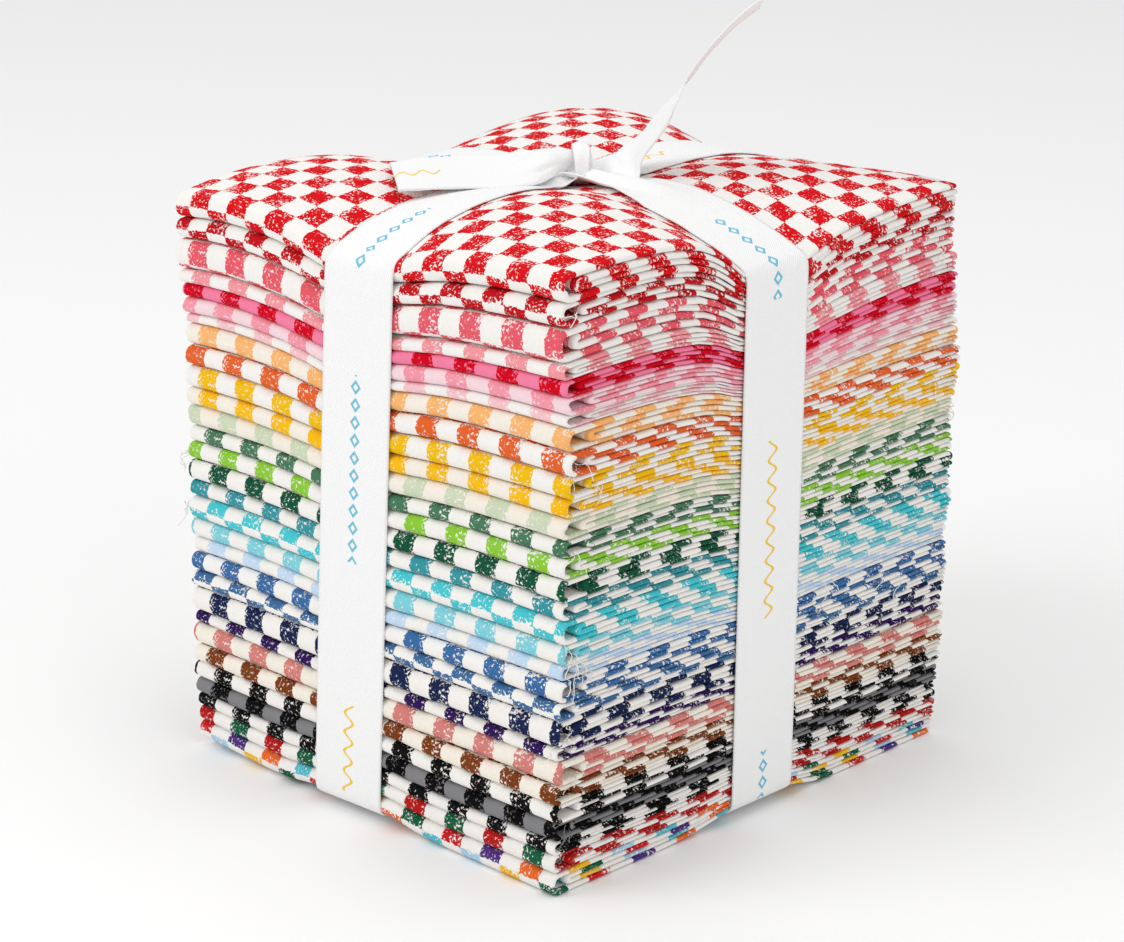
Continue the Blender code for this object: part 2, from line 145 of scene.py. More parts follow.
# %% The table of cuts
COLUMNS = ("name", "roll", "back", "front", "side", "turn_above", "square_x", "rows", "print", "ground")
WHITE = (243, 240, 236)
CREAM = (243, 236, 224)
ROWS = [
    ("red", 6.3, 5.4, 0.5, -1.2, 1, 48.3, 0.95, (214, 22, 30), WHITE),
    ("deep_red", 5.1, 5.1, 0.3, -1.8, 0, 52.4, 1.0, (194, 24, 32), WHITE),
    ("coral_pink", 7.3, 5.5, 0.8, -1.6, 1, 46.2, 0.62, (230, 92, 106), WHITE),
    ("light_coral", 3.2, 4.8, 0.6, -0.6, 0, 47.0, 0.6, (240, 152, 160), WHITE),
    ("hot_pink", 3.5, 4.8, 0.1, 0.0, 1, 56.8, 0.5, (210, 8, 32), (243, 130, 165)),
    ("mid_pink", 3.8, 4.1, 0.0, 0.4, 0, 53.5, 0.5, (242, 152, 168), (244, 216, 222)),
    ("pale_pink", 2.6, 4.0, -0.6, 0.3, 1, 52.4, 0.5, (243, 196, 202), WHITE),
    ("peach", 5.1, 4.4, -0.1, 1.0, 0, 47.0, 0.5, (246, 182, 112), CREAM),
    ("orange", 4.9, 4.4, 0.3, 1.8, 1, 56.6, 0.5, (226, 100, 46), WHITE),
    ("golden_yellow", 5.1, 4.4, 0.5, 1.8, 0, 46.2, 0.5, (240, 190, 20), WHITE),
    ("warm_yellow", 4.4, 4.3, 0.2, 1.1, 1, 46.8, 0.5, (246, 190, 24), CREAM),
    ("sage", 5.3, 4.6, -0.3, 0.2, 0, 53.8, 0.5, (205, 216, 188), CREAM),
    ("grey_green", 3.5, 4.4, -0.6, 0.3, 1, 48.8, 0.5, (74, 122, 92), WHITE),
    ("lime", 4.5, 4.5, -0.1, 0.7, 1, 53.9, 0.5, (140, 200, 58), WHITE),
    ("dark_green", 5.1, 4.7, 0.4, 0.9, 0, 51.6, 0.5, (24, 84, 60), WHITE),
    ("teal", 4.1, 4.4, 0.0, 0.5, 1, 56.0, 0.5, (56, 150, 160), WHITE),
    ("turquoise", 5.5, 4.7, 0.3, 0.8, 0, 49.9, 1.0, (74, 198, 208), WHITE),
    ("aqua", 4.8, 4.6, -0.2, 0.6, 1, 52.0, 0.5, (128, 208, 220), WHITE),
    ("ice_blue", 3.7, 4.3, -0.7, 0.0, 0, 48.4, 0.5, (196, 218, 240), WHITE),
    ("blue", 4.5, 4.5, 0.1, 0.4, 1, 52.5, 0.5, (60, 108, 162), WHITE),
    ("denim_blue", 3.9, 4.4, 0.4, 0.8, 0, 45.9, 1.0, (66, 110, 156), WHITE),
    ("navy", 6.6, 4.9, 0.2, 0.3, 1, 49.8, 0.5, (30, 40, 78), WHITE),
    ("purple", 3.0, 4.2, -0.5, -0.3, 0, 54.7, 0.5, (52, 26, 88), WHITE),
    ("dusty_coral", 5.6, 4.8, -0.1, 0.2, 1, 52.1, 0.5, (212, 128, 122), CREAM),
    ("brown", 4.2, 4.5, 0.3, 0.3, 0, 46.1, 0.5, (124, 62, 26), CREAM),
    ("black", 4.4, 4.5, 0.1, -0.2, 1, 50.9, 0.5, (22, 20, 20), WHITE),
    ("charcoal", 4.3, 4.5, -0.3, -0.5, 0, 48.9, 0.5, (16, 15, 16), (132, 131, 134)),
    ("ink", 3.5, 4.4, -0.6, -0.8, 1, 56.2, 0.5, (20, 20, 22), WHITE),
    ("red_green", 4.4, 4.5, -0.9, -1.0, 0, 55.2, 0.5, (180, 30, 30), WHITE),
    ("rainbow", 5.4, 4.9, -1.2, -1.4, 1, 54.0, 1.0, (215, 70, 60), WHITE),
]
CUTS = [dict(zip(COLUMNS, row)) for row in ROWS]
print(len(CUTS), "cuts, rolls", sum(cut["roll"] for cut in CUTS), "mm high in all")

# %% [markdown]
# ## The pressed stack
#
# The ribbon is pulled tight, so the stack isn't a block: each quarter of the top swells up beside
# the ribbon, the swelling dies away further down, and the underside is drawn up a little. All
# cuts share one set of height fields, one for each face between two cuts. Neighbours then can't
# run into each other, however much the stack is pressed.

# %% Height of every face between two cuts
FRONT_Y = -68.3
BACK_Y = 68.1
HALF_WIDTH = 61.0
BAND_X = -1.0                      # the lengthwise band on the top
BAND_Y = -0.5                      # the crosswise band
BAND_HALF = 10.7                   # half the width of the ribbon
CORNERS = {"front_right": 141.0, "front_left": 140.5, "back_right": 138.7, "back_left": 138.9}
CORNER_RISES = {"front_right": 2.8, "front_left": 0.0, "back_right": 4.0, "back_left": 2.4}
CORNER_DROOPS = {"front_right": 0.0, "front_left": 1.4, "back_right": 0.0, "back_left": 2.2}
DOMES = {"front_right": 11.3, "front_left": 4.8, "back_right": 10.2, "back_left": 7.1}
POWERS_X = {"front_right": 1.2, "front_left": 8.4, "back_right": 1.6, "back_left": 6.5}
POWERS_Y = {"front_right": 3.4, "front_left": 2.7, "back_right": 2.5, "back_left": 4.9}
FADE_DOWN = 45.0                   # depth over which the swelling dies away
FADE_LEFT, FADE_RIGHT = 17.3, 27.1     # how far beside a band the cloth is still drawn down
FADE_FRONT, FADE_BACK = 9.7, 40.3
GROOVE_DEPTH = 5.8
EDGE_GROOVE_Y, EDGE_GROOVE_X = 3.2, 4.6    # how much deeper it cuts in at the outer edges
UNDER_LIFT = 3.4
UNDER_FADE = 14.0


def shares_from_top(column):
    heights = np.array([cut[column] for cut in CUTS])
    return 1.0 - np.concatenate([[0.0], np.cumsum(heights)]) / heights.sum()


ROLL_SHARES, BACK_SHARES = shares_from_top("roll"), shares_from_top("back")


def groove(distance, fade_low=8.5, fade_high=8.5, power=1.7):
    """1 under a band, falling to 0 beside it, on either side over its own distance."""
    outside = np.maximum(np.abs(distance) - BAND_HALF, 0.0)
    return np.exp(-(outside / np.where(distance < 0, fade_low, fade_high)) ** power)


def step(low, high, value):
    """0 below low, 1 above high, and smooth between them."""
    share = np.clip((value - low) / (high - low), 0.0, 1.0)
    return share * share * (3 - 2 * share)


def four_ways(values, x, y, spread):
    """A value for each quarter of the stack, blended across its middle lines."""
    right = 0.5 + 0.5 * np.tanh(spread * (x - BAND_X) / HALF_WIDTH)
    back = 0.5 + 0.5 * np.tanh(spread * (y - BAND_Y) / HALF_WIDTH)
    return (values["front_right"] * right * (1 - back) + values["front_left"] * (1 - right) * (1 - back)
            + values["back_right"] * right * back + values["back_left"] * (1 - right) * back)


def wave(seed, x, y, length):
    """A slow, even wave between about -1 and 1, the same in each run."""
    draw = np.random.default_rng(seed)
    total = 0.0
    for angle, phase, stretch in zip(draw.uniform(0, math.pi, 3), draw.uniform(0, 2 * math.pi, 3),
                                     draw.uniform(0.8, 1.6, 3)):
        along = x * math.cos(angle) + y * math.sin(angle)
        total = total + np.sin(2 * math.pi * along / (length * stretch) + phase)
    return total / 2.2


def swelling(x, y):
    """How far the top stands above the plain stack."""
    dome = ((1 - np.minimum(np.abs(x / 65.0), 1) ** four_ways(POWERS_X, x, y, 2.5))
            * (1 - np.minimum(np.abs(y / 73.0), 1) ** four_ways(POWERS_Y, x, y, 2.5)))
    across = groove(x - BAND_X, FADE_LEFT, FADE_RIGHT, 1.15)
    along = groove(y - BAND_Y, FADE_FRONT, FADE_BACK, 1.15)
    edge = EDGE_GROOVE_Y * across * np.abs(y / 68) ** 7 + EDGE_GROOVE_X * along * np.abs(x / 61) ** 3.5
    sink = GROOVE_DEPTH * (across + along - 0.3 * across * along) + edge
    to_corner = np.hypot(np.maximum(61 - np.abs(x), 0), np.maximum(68 - np.abs(y), 0))
    droop = four_ways(CORNER_DROOPS, x, y, 6.0) * np.exp(-(to_corner / 10.0) ** 1.5)
    return four_ways(DOMES, x, y, 2.5) * dome + four_ways(CORNER_RISES, x, y, 1.2) - sink - droop


def height(level, x, y):
    """Height in mm of the face above cut `level` (0 is the top of the stack)."""
    toward_back = np.clip((y - FRONT_Y) / (BACK_Y - FRONT_Y), 0, 1)
    share = ROLL_SHARES[level] * (1 - toward_back) + BACK_SHARES[level] * toward_back
    plain = four_ways(CORNERS, x, y, 1.2)
    depth = (1 - share) * plain
    end = math.exp(-139.0 / FADE_DOWN)
    high = swelling(x, y) * (np.exp(-depth / FADE_DOWN) - end) / (1 - end)
    across, along = groove(x + 5.0), groove(y - BAND_Y)
    corner = 2.2 * np.clip(-x / 61, 0, 1) ** 2 * np.clip(-y / 68, 0, 1) ** 2
    low = (UNDER_LIFT * (across + along - across * along) + corner) * np.exp(-share * plain / UNDER_FADE)
    ripple = 0.0 if level in (0, len(CUTS)) else 0.22 * wave(400 + level, x, y, 55.0)
    return share * plain + high + low + ripple


print("top at the four corners:", [round(float(height(0, x, y)), 1) for x in (-60, 60) for y in (-67, 67)])

# %% [markdown]
# ## Folding one cut
#
# A cut is folded in its width into four plies, which makes a strip, and the strip is folded again
# in its length, which makes the roll in front. Both foldings are described apart: across the strip
# by place, ply and distance on the cloth, and along it by place and share of the cut's height.
# The grid of both is the whole sheet, so its checks can be laid on flat and fold along with it.

# %% Sections of a folded cut
PASS = 0.25                        # four passes of the strip in one cut
PLY = PASS / 4
CLOTH = 0.2                        # thickness of the cotton
PLY_PITCH = 0.27                   # from one ply to the next
CHECK = 6.35                       # side of one printed square
X_STATIONS = np.array([-61, -53, -45, -36, -28, -20, -14, -7, 4, 10, 16, 24, 34, 47, 61]) / 122 + 0.5
Y_STATIONS = np.array([66, 56, 45, 35, 27, 20, 14, 9, 3, -4, -10, -14, -19, -25, -33, -42, -51, -59, -66])


def finer(stations, times):
    """The same stations with `times` steps between two of them."""
    count = (len(stations) - 1) * times + 1
    return np.interp(np.linspace(0, len(stations) - 1, count), np.arange(len(stations)), stations)


def strip_section(times):
    """Across the strip: (share of width, place beyond the edge, ply) for each vertex."""
    inside = finer(X_STATIONS, times)
    raw = inside[inside > 0.12]
    rows = [(u, 0.0, -1.5) for u in raw]
    rows += [(1.0, 0.75 * math.sin(a), -1.5 * math.cos(a)) for a in np.linspace(0.5, math.pi - 0.5, 4)]
    rows += [(u, 0.0, 1.5) for u in inside[::-1]]
    rows += [(0.0, -0.3 * math.sin(a), 1.0 + 0.5 * math.cos(a)) for a in (0.9, math.pi - 0.9)]
    rows += [(u, 0.0, 0.5) for u in inside]
    rows += [(1.0, 0.3 * math.sin(a), 0.5 * math.cos(a)) for a in (0.9, math.pi - 0.9)]
    rows += [(u, 0.0, -0.5) for u in raw[::-1]]
    return np.array(rows)


def length_section(times, root, depth, inner_root, turn_root):
    """Along the strip: place, its change with the ply, share of height and its change with the ply."""
    rows = []

    def run(start, end, share, side):
        stations = finer(Y_STATIONS, times)
        spread = (stations - stations[0]) / (stations[-1] - stations[0])
        if start < end:
            spread = 1 - spread[::-1]
        for y in start + spread * (end - start):
            rows.append((y, 0.0, share, side * PLY))

    def bend(middle, reach, centre, radius, turn, start, steps):
        """Half round: reach is its bulge, turn 1 where the outer plies lie outside."""
        for k in range(1, steps):
            angle = math.pi * k / steps
            side, rise = abs(math.sin(angle)) ** 0.8, math.copysign(abs(math.cos(angle)) ** 0.9,
                                                                   math.cos(angle))
            rows.append((middle + reach * side, turn * reach / radius * PLY * side,
                         centre + start * radius * rise, turn * start * PLY * rise))

    run(BACK_Y, root, 0.875, 1)
    bend(root, -depth, 0.5, 0.375, 1, 1, 10)
    run(root, turn_root, 0.125, -1)
    bend(turn_root, 1.0, 0.25, 0.125, 1, -1, 5)
    run(turn_root, inner_root, 0.375, 1)
    bend(inner_root, -1.1, 0.5, 0.125, -1, -1, 5)
    run(inner_root, BACK_Y, 0.625, -1)
    return np.array(rows)


print("vertices across and along:", len(strip_section(1)), len(length_section(1, -66, 2, -60, 66)))

# %% [markdown]
# ## Laying a cut into the stack
#
# The two foldings give every vertex a share of its cut's height, and the height fields turn that
# share into a real height. People fold by eye, so each pass gets its own small overhang. The same
# step measures the cloth along its folds, which gives the flat places that the print needs.

# %% Lay a folded cut into the stack
def fold_cut(index, times):
    """Vertices (across, along, 3) in mm, flat places on the cloth and the print's start, of one cut."""
    cut = CUTS[index]
    draw = np.random.default_rng(900 + index)
    deep = 0.94 * min(max(0.5 * cut["roll"], 1.7), 2.9)
    front = FRONT_Y - cut["front"]
    root = front + deep
    setback = draw.uniform(3.0, 7.0)
    section = strip_section(times)
    path = length_section(times, root, 0.8 * deep, root + setback, BACK_Y - 1.2)
    share_wide, beyond, ply = (section[:, k][:, None] for k in range(3))
    place, place_ply, share, share_ply = (path[:, k][None, :] for k in range(4))
    y = place + place_ply * ply
    share = share + share_ply * ply * 0.97
    if not cut["turn_above"]:
        share = 1.0 - share
    # folded edges: each pass has its own overhang, which wanders a little along the fold
    passes = np.arange(path.shape[0]) * 4 // path.shape[0]
    overhang = draw.uniform(-0.35, 0.35, 4)[passes][None, :]
    overhang = overhang + 0.3 * wave(700 + index, y, passes * 30.0, 60.0)
    pressed = groove(y - BAND_Y)
    right = HALF_WIDTH + cut["side"] * (1 - pressed) + 0.4 * pressed + overhang * (1 - 0.85 * pressed)
    left = -HALF_WIDTH + 0.4 * cut["side"] - 0.6 * overhang * (1 - 0.85 * pressed)
    x = left + share_wide * (right - left) + beyond
    # the roll: pressed back behind the ribbon, and the whole cut turned a little further down
    low_down = 1 - ROLL_SHARES[index]
    held = groove(x - BAND_X + 4.0 * low_down)
    near_front = step(-20, root, y) if root > -20 else step(20, -root, -y)
    pushed = (cut["front"] - 0.6) * held + 0.25 * wave(500 + index, x, 0 * y, 70.0) * (1 - held)
    y = y + pushed * near_front - 0.045 * x * low_down * near_front
    at = np.clip(y, root, BACK_Y)
    top, bottom = height(index, x, at) - 0.05, height(index + 1, x, at) + 0.05
    z = bottom + (top - bottom) * share
    points = np.stack([x, y, z], axis=2)
    across = share_wide[:, 0] * 2 * HALF_WIDTH + beyond[:, 0]
    flat_x = np.concatenate([[0], np.cumsum(np.hypot(np.diff(across), np.diff(ply[:, 0]) * PLY_PITCH))])
    middle = points[len(section) // 2]
    flat_y = np.concatenate([[0], np.cumsum(np.linalg.norm(np.diff(middle[:, 1:], axis=0), axis=1))])
    # the print: one square's middle at square_x on the outer ply, its rows counted from the roll
    outer = section[:, 2] == 1.5
    at_square = np.interp(cut["square_x"] / (2 * HALF_WIDTH) + 0.5,
                          section[outer, 0][::-1], flat_x[outer][::-1])
    runs = 1.5 if cut["turn_above"] or cut["rows"] < 0.9 else 0.5
    roll_at = flat_y[len(Y_STATIONS) * times - times + 1 + 4]
    # a square, and not the line between two, lies on the folded edges of the right side
    fold_at = flat_x[section[:, 0] == 1.0][:6].mean()
    phase = (fold_at + runs * CHECK - at_square) / CHECK % 1.0
    nudge = (np.clip(phase, 0.27, 0.73) - phase) * CHECK
    start = ((runs * CHECK - at_square + nudge) % (2 * CHECK), cut["rows"] * CHECK - roll_at + 100 * CHECK)
    return points, flat_x, flat_y, start, float((top - bottom).min())


points, flat_x, flat_y, start, thin = fold_cut(4, 1)
print("one cut, flat:", round(flat_x[-1]), "by", round(flat_y[-1]), "mm; thinnest place", round(thin, 2))

# %% [markdown]
# ## From a grid to cloth with two sides
#
# A grid of points becomes quads, each corner knows its place on the flat cloth, and the Solidify
# modifier gives the sheet its thickness. The place on the cloth is kept in metres in the UV map,
# so every pattern can be given in real sizes.

# %% Grids become meshes
def quads(rows, columns, first=0):
    index = first + np.arange(rows * columns).reshape(rows, columns)
    return np.stack([index[:-1, :-1], index[1:, :-1], index[1:, 1:], index[:-1, 1:]], axis=2).reshape(-1, 4)


def grid_object(name, points, uv_across, uv_along, thickness, closed=False, threads=(), thread_at=(0, 0)):
    """A sheet from a grid of points in mm, with its flat places in metres as its UV map.

    Its frayed threads are narrow strips of points, and all have the colour of one place on it."""
    rows, columns = points.shape[:2]
    faces = quads(rows, columns)
    u, v = np.meshgrid(uv_across, uv_along, indexing="ij")
    flat = np.stack([u, v], axis=2).reshape(-1, 2)
    vertices = points.reshape(-1, 3)
    for strip in threads:
        faces = np.concatenate([faces, quads(*strip.shape[:2], len(vertices))])
        vertices = np.concatenate([vertices, strip.reshape(-1, 3)])
        flat = np.concatenate([flat, np.tile(thread_at, (strip.shape[0] * strip.shape[1], 1))])
    flat = flat * MM
    mesh = bpy.data.meshes.new(name)
    mesh.from_pydata((vertices * MM).tolist(), [], faces.tolist())
    layer = mesh.uv_layers.new(name="cloth")
    layer.data.foreach_set("uv", flat[faces.reshape(-1)].reshape(-1))
    made = bpy.data.objects.new(name, mesh)
    bpy.context.scene.collection.objects.link(made)
    if closed:
        weld = bmesh.new()
        weld.from_mesh(mesh)
        bmesh.ops.remove_doubles(weld, verts=weld.verts[:], dist=0.00001)
        weld.to_mesh(mesh)
        weld.free()
    wall = made.modifiers.new("thickness", "SOLIDIFY")
    wall.thickness = thickness * MM
    wall.offset = 0.0
    deselect()
    made.select_set(True)
    bpy.context.view_layer.objects.active = made
    bpy.ops.object.modifier_apply(modifier=wall.name)
    bpy.ops.object.shade_smooth()
    return made


# %% [markdown]
# ## Printed cotton
#
# The print is a check of about 6 mm whose printed squares look worn: their edges are ragged and
# small flecks of the ground show through. Every cut has the same print in other colours, so the
# pattern is a node group that gives only masks, and each material mixes its own two colours.
# The weave is finer than a pixel from here, but it shows when someone looks close.

# %% Small helpers for nodes
def add_node(tree, kind, inputs=None, **settings):
    made = tree.nodes.new(kind)
    for key, value in settings.items():
        setattr(made, key, value)
    for socket, value in (inputs or {}).items():
        if isinstance(value, bpy.types.NodeSocket):
            tree.links.new(value, made.inputs[socket])
        else:
            made.inputs[socket].default_value = value
    return made


def sums(tree, operation, first, second=0.0, clamp=False):
    return add_node(tree, "ShaderNodeMath", {0: first, 1: second}, operation=operation,
                    use_clamp=clamp).outputs[0]


def mix_colour(tree, share, first, second):
    node = add_node(tree, "ShaderNodeMix", data_type="RGBA")
    for socket, value in ((0, share), (6, first), (7, second)):
        if isinstance(value, bpy.types.NodeSocket):
            tree.links.new(value, node.inputs[socket])
        else:
            node.inputs[socket].default_value = value
    return node.outputs[2]


def new_group(name, inputs, outputs):
    """A shader node group with named sockets: (name, kind, value) in and (name, kind) out."""
    tree = bpy.data.node_groups.new(name, "ShaderNodeTree")
    for label, kind, value in inputs:
        socket = tree.interface.new_socket(label, in_out="INPUT", socket_type=kind)
        if value is not None:
            socket.default_value = value
    for label, kind in outputs:
        tree.interface.new_socket(label, in_out="OUTPUT", socket_type=kind)
    return tree, tree.nodes.new("NodeGroupInput").outputs, tree.nodes.new("NodeGroupOutput").inputs


def linear(colour):
    """A colour on the 0 to 255 scale of a paint program, as the light values that nodes use."""
    values = [c / 255 for c in colour]
    return (*[v / 12.92 if v <= 0.04045 else ((v + 0.055) / 1.055) ** 2.4 for v in values], 1.0)


print("helpers ready")

# %% [markdown]
# ## The check and the weave as groups
#
# A check is the parity of two whole numbers: which column and which row of cells a place is in.
# Noise moves the place a little first, which makes the edges ragged, and finer noise over a limit
# takes small flecks out of the print. The weave is two sine waves that cross at the thread pitch.

# %% The worn check, as masks
def worn_check_group():
    tree, given, out = new_group(
        "worn_check",
        [("Place", "NodeSocketVector", None), ("Cell", "NodeSocketFloat", 0.00635),
         ("Wear", "NodeSocketFloat", 0.5)],
        [("Print", "NodeSocketFloat"), ("Count", "NodeSocketFloat")])
    ragged = add_node(tree, "ShaderNodeTexNoise", {"Vector": given["Place"], "Scale": 1100.0, "Detail": 4.0})
    centred = add_node(tree, "ShaderNodeVectorMath", {0: ragged.outputs["Color"], 1: (0.5, 0.5, 0.5)},
                       operation="SUBTRACT")
    shift = add_node(tree, "ShaderNodeVectorMath", {0: centred.outputs[0], "Scale": 0.0013},
                     operation="SCALE")
    moved = add_node(tree, "ShaderNodeVectorMath", {0: given["Place"], 1: shift.outputs[0]})
    per_cell = sums(tree, "DIVIDE", 1.0, given["Cell"])
    cells = add_node(tree, "ShaderNodeVectorMath", {0: moved.outputs[0], "Scale": per_cell},
                     operation="SCALE")
    whole = add_node(tree, "ShaderNodeVectorMath", {0: cells.outputs[0]}, operation="FLOOR")
    split = add_node(tree, "ShaderNodeSeparateXYZ", {0: whole.outputs[0]})
    parity = sums(tree, "FLOORED_MODULO", sums(tree, "ADD", split.outputs[0], split.outputs[1]), 2.0)
    inside = add_node(tree, "ShaderNodeVectorMath", {0: cells.outputs[0]}, operation="FRACTION")
    parts = add_node(tree, "ShaderNodeSeparateXYZ", {0: inside.outputs[0]})
    off_middle = [sums(tree, "ABSOLUTE", sums(tree, "SUBTRACT", parts.outputs[k], 0.5)) for k in (0, 1)]
    rim = sums(tree, "MAXIMUM", *off_middle)
    coarse = add_node(tree, "ShaderNodeTexNoise", {"Vector": given["Place"], "Scale": 260.0, "Detail": 2.0})
    fine = add_node(tree, "ShaderNodeTexNoise",
                    {"Vector": given["Place"], "Scale": 1500.0, "Detail": 4.0, "Roughness": 0.62})
    worn = sums(tree, "ADD", fine.outputs[0], sums(tree, "MULTIPLY", rim, 0.14))
    patchy = sums(tree, "MULTIPLY", sums(tree, "SUBTRACT", coarse.outputs[0], 0.5), 0.5)
    worn = sums(tree, "ADD", worn, patchy)
    limit = sums(tree, "SUBTRACT", 0.72, sums(tree, "MULTIPLY", given["Wear"], 0.2))
    fleck = sums(tree, "MULTIPLY", sums(tree, "SUBTRACT", worn, limit), 30.0, clamp=True)
    mask = sums(tree, "MULTIPLY", parity, sums(tree, "SUBTRACT", 1.0, fleck))
    tree.links.new(mask, out["Print"])
    pairs = sums(tree, "FLOOR", sums(tree, "MULTIPLY", split.outputs[0], 0.5))
    tree.links.new(sums(tree, "ADD", pairs, sums(tree, "MULTIPLY", split.outputs[1], 3.0)), out["Count"])
    return tree


def plain_weave_group():
    """Threads over and under each other, as a height and a slight change of tone."""
    tree, given, out = new_group(
        "plain_weave", [("Place", "NodeSocketVector", None), ("Pitch", "NodeSocketFloat", 0.00038)],
        [("Height", "NodeSocketFloat"), ("Tone", "NodeSocketFloat")])
    split = add_node(tree, "ShaderNodeSeparateXYZ", {0: given["Place"]})
    per_thread = sums(tree, "DIVIDE", math.pi, given["Pitch"])
    threads = [sums(tree, "SINE", sums(tree, "MULTIPLY", split.outputs[k], per_thread)) for k in (0, 1)]
    crossing = sums(tree, "MULTIPLY", *threads)
    slub = add_node(tree, "ShaderNodeTexNoise", {"Vector": given["Place"], "Scale": 900.0, "Detail": 3.0})
    height_out = sums(tree, "ADD", sums(tree, "MULTIPLY", crossing, 0.5), slub.outputs[0])
    tree.links.new(height_out, out["Height"])
    tree.links.new(sums(tree, "ADD", sums(tree, "MULTIPLY", slub.outputs[0], 0.12), 0.94), out["Tone"])
    return tree


WORN_CHECK, PLAIN_WEAVE = worn_check_group(), plain_weave_group()
print("groups:", WORN_CHECK.name, PLAIN_WEAVE.name)

# %% [markdown]
# ## One cotton for each cut
#
# The Principled shader stays in the material, and the groups only feed it. Cotton is matt, so its
# highlight is almost taken away, which keeps the dark prints dark. Two cuts are printed in more
# than two colours: there each pair of cells takes its ink from a ramp with hard steps.

# %% Cotton of one cut
PALETTES = {
    "red_green": [(182, 32, 30), (28, 96, 66)],
    "rainbow": [(88, 190, 206), (236, 108, 44), (84, 52, 130), (206, 34, 40), (22, 96, 64), (243, 190, 40),
                (170, 208, 232)],
}


def cloth_material(name, finish):
    """A new material with the cloth's place on its UV map, for `finish` to complete."""
    made = bpy.data.materials.new(name)
    made.use_nodes = True
    tree = made.node_tree
    shader = tree.nodes["Principled BSDF"]
    place = add_node(tree, "ShaderNodeUVMap", uv_map="cloth").outputs[0]
    finish(tree, shader, place)
    return made


def cotton(cut, start):
    """Printed cotton. Start moves the print on the cloth so that its squares meet the folds."""

    def finish(tree, shader, place):
        moved = add_node(tree, "ShaderNodeMapping", {"Vector": place, "Location": (*start, 0.0)})
        check = add_node(tree, "ShaderNodeGroup", {}, node_tree=WORN_CHECK)
        tree.links.new(moved.outputs[0], check.inputs["Place"])
        weave = add_node(tree, "ShaderNodeGroup", {}, node_tree=PLAIN_WEAVE)
        tree.links.new(place, weave.inputs["Place"])
        printed = linear(cut["print"])
        if cut["name"] in PALETTES:
            inks = PALETTES[cut["name"]]
            turn = sums(tree, "FLOORED_MODULO", check.outputs["Count"], float(len(inks)))
            turn = sums(tree, "DIVIDE", sums(tree, "ADD", turn, 0.5), float(len(inks)))
            ramp = add_node(tree, "ShaderNodeValToRGB", {0: turn})
            ramp.color_ramp.interpolation = "CONSTANT"
            for k, ink in enumerate(inks):
                stops = ramp.color_ramp.elements
                stop = stops[0] if k == 0 else stops[1] if k == 1 else stops.new(k / len(inks))
                stop.position, stop.color = k / len(inks), linear(ink)
            printed = ramp.outputs[0]
        both = mix_colour(tree, check.outputs["Print"], linear(cut["ground"]), printed)
        toned = add_node(tree, "ShaderNodeVectorMath", {0: both, "Scale": weave.outputs["Tone"]},
                         operation="SCALE")
        tree.links.new(toned.outputs[0], shader.inputs["Base Color"])
        bump = add_node(tree, "ShaderNodeBump", {"Strength": 0.3, "Distance": 0.0002,
                                                 "Height": weave.outputs["Height"]})
        tree.links.new(bump.outputs[0], shader.inputs["Normal"])
        shader.inputs["Roughness"].default_value = 0.9
        shader.inputs["Specular IOR Level"].default_value = 0.03

    return cloth_material(f"cotton_{cut['name']}", finish)


# %% [markdown]
# ## Frayed threads and the whole stack
#
# The cuts have raw edges, and white threads fray out of them where the bundle was handled most, at
# its upright edges. Each thread is a very narrow strip that leaves a fold and wanders down
# outside it. It belongs to the mesh of its own cut.

# %% Frayed threads
FRAYED = [  # cut, where its threads leave the stack (x, y), which way, how many, the longest in mm
    (1, 61.5, -66, (0.8, -0.6), 2, 7), (8, 61.5, -66, (0.6, -0.8), 6, 13),
    (9, 61.5, -60, (0.9, -0.3), 3, 9), (12, 61.5, -66, (0.8, -0.6), 2, 9),
    (17, 61.5, -66, (0.7, -0.7), 6, 15), (18, 61.5, -62, (0.9, -0.3), 4, 13),
    (21, 61.0, -66, (0.7, -0.7), 5, 13), (23, 61.5, -64, (0.8, -0.5), 2, 9),
    (26, 61.0, -66, (0.7, -0.7), 3, 9), (13, -61.0, -66, (-0.8, -0.6), 4, 11),
    (16, -61.0, -66, (-0.9, -0.4), 3, 12), (2, 61.5, 60, (1, 0), 2, 8),
    (18, 61.8, 22, (1, 0), 2, 12), (19, 61.8, 44, (1, 0), 2, 12),
    (11, 61.5, 66, (0.8, 0.6), 3, 9), (10, -61.0, 66, (-0.8, 0.6), 3, 10),
    (22, -60.5, 20, (-1, 0), 2, 9),
]
THREAD_WIDE = 0.18                 # width of a thread in mm


def loose_thread(draw, start, out, length):
    """A strip of points along a thread that leaves `start` in the direction `out` and sinks."""
    steps = 18
    out = Vector((*out, 0.0)).normalized()
    heading = (out + Vector((draw.normal(0, 0.3), draw.normal(0, 0.3), draw.normal(0.1, 0.5)))).normalized()
    side = out.cross(Vector((0, 0, 1)))
    place, middles = Vector(start), []
    for k in range(steps + 1):
        middles.append(place.copy())
        reach = (place - Vector(start)).dot(out)
        wander = side * draw.normal(0, 0.45) + Vector((0, 0, draw.normal(-0.14, 0.3)))
        heading = (heading + wander + out * (0.5 * (1.9 - reach))).normalized()
        place = place + heading * (length / steps)
    return np.array([[m - side * THREAD_WIDE / 2, m + side * THREAD_WIDE / 2] for m in middles])


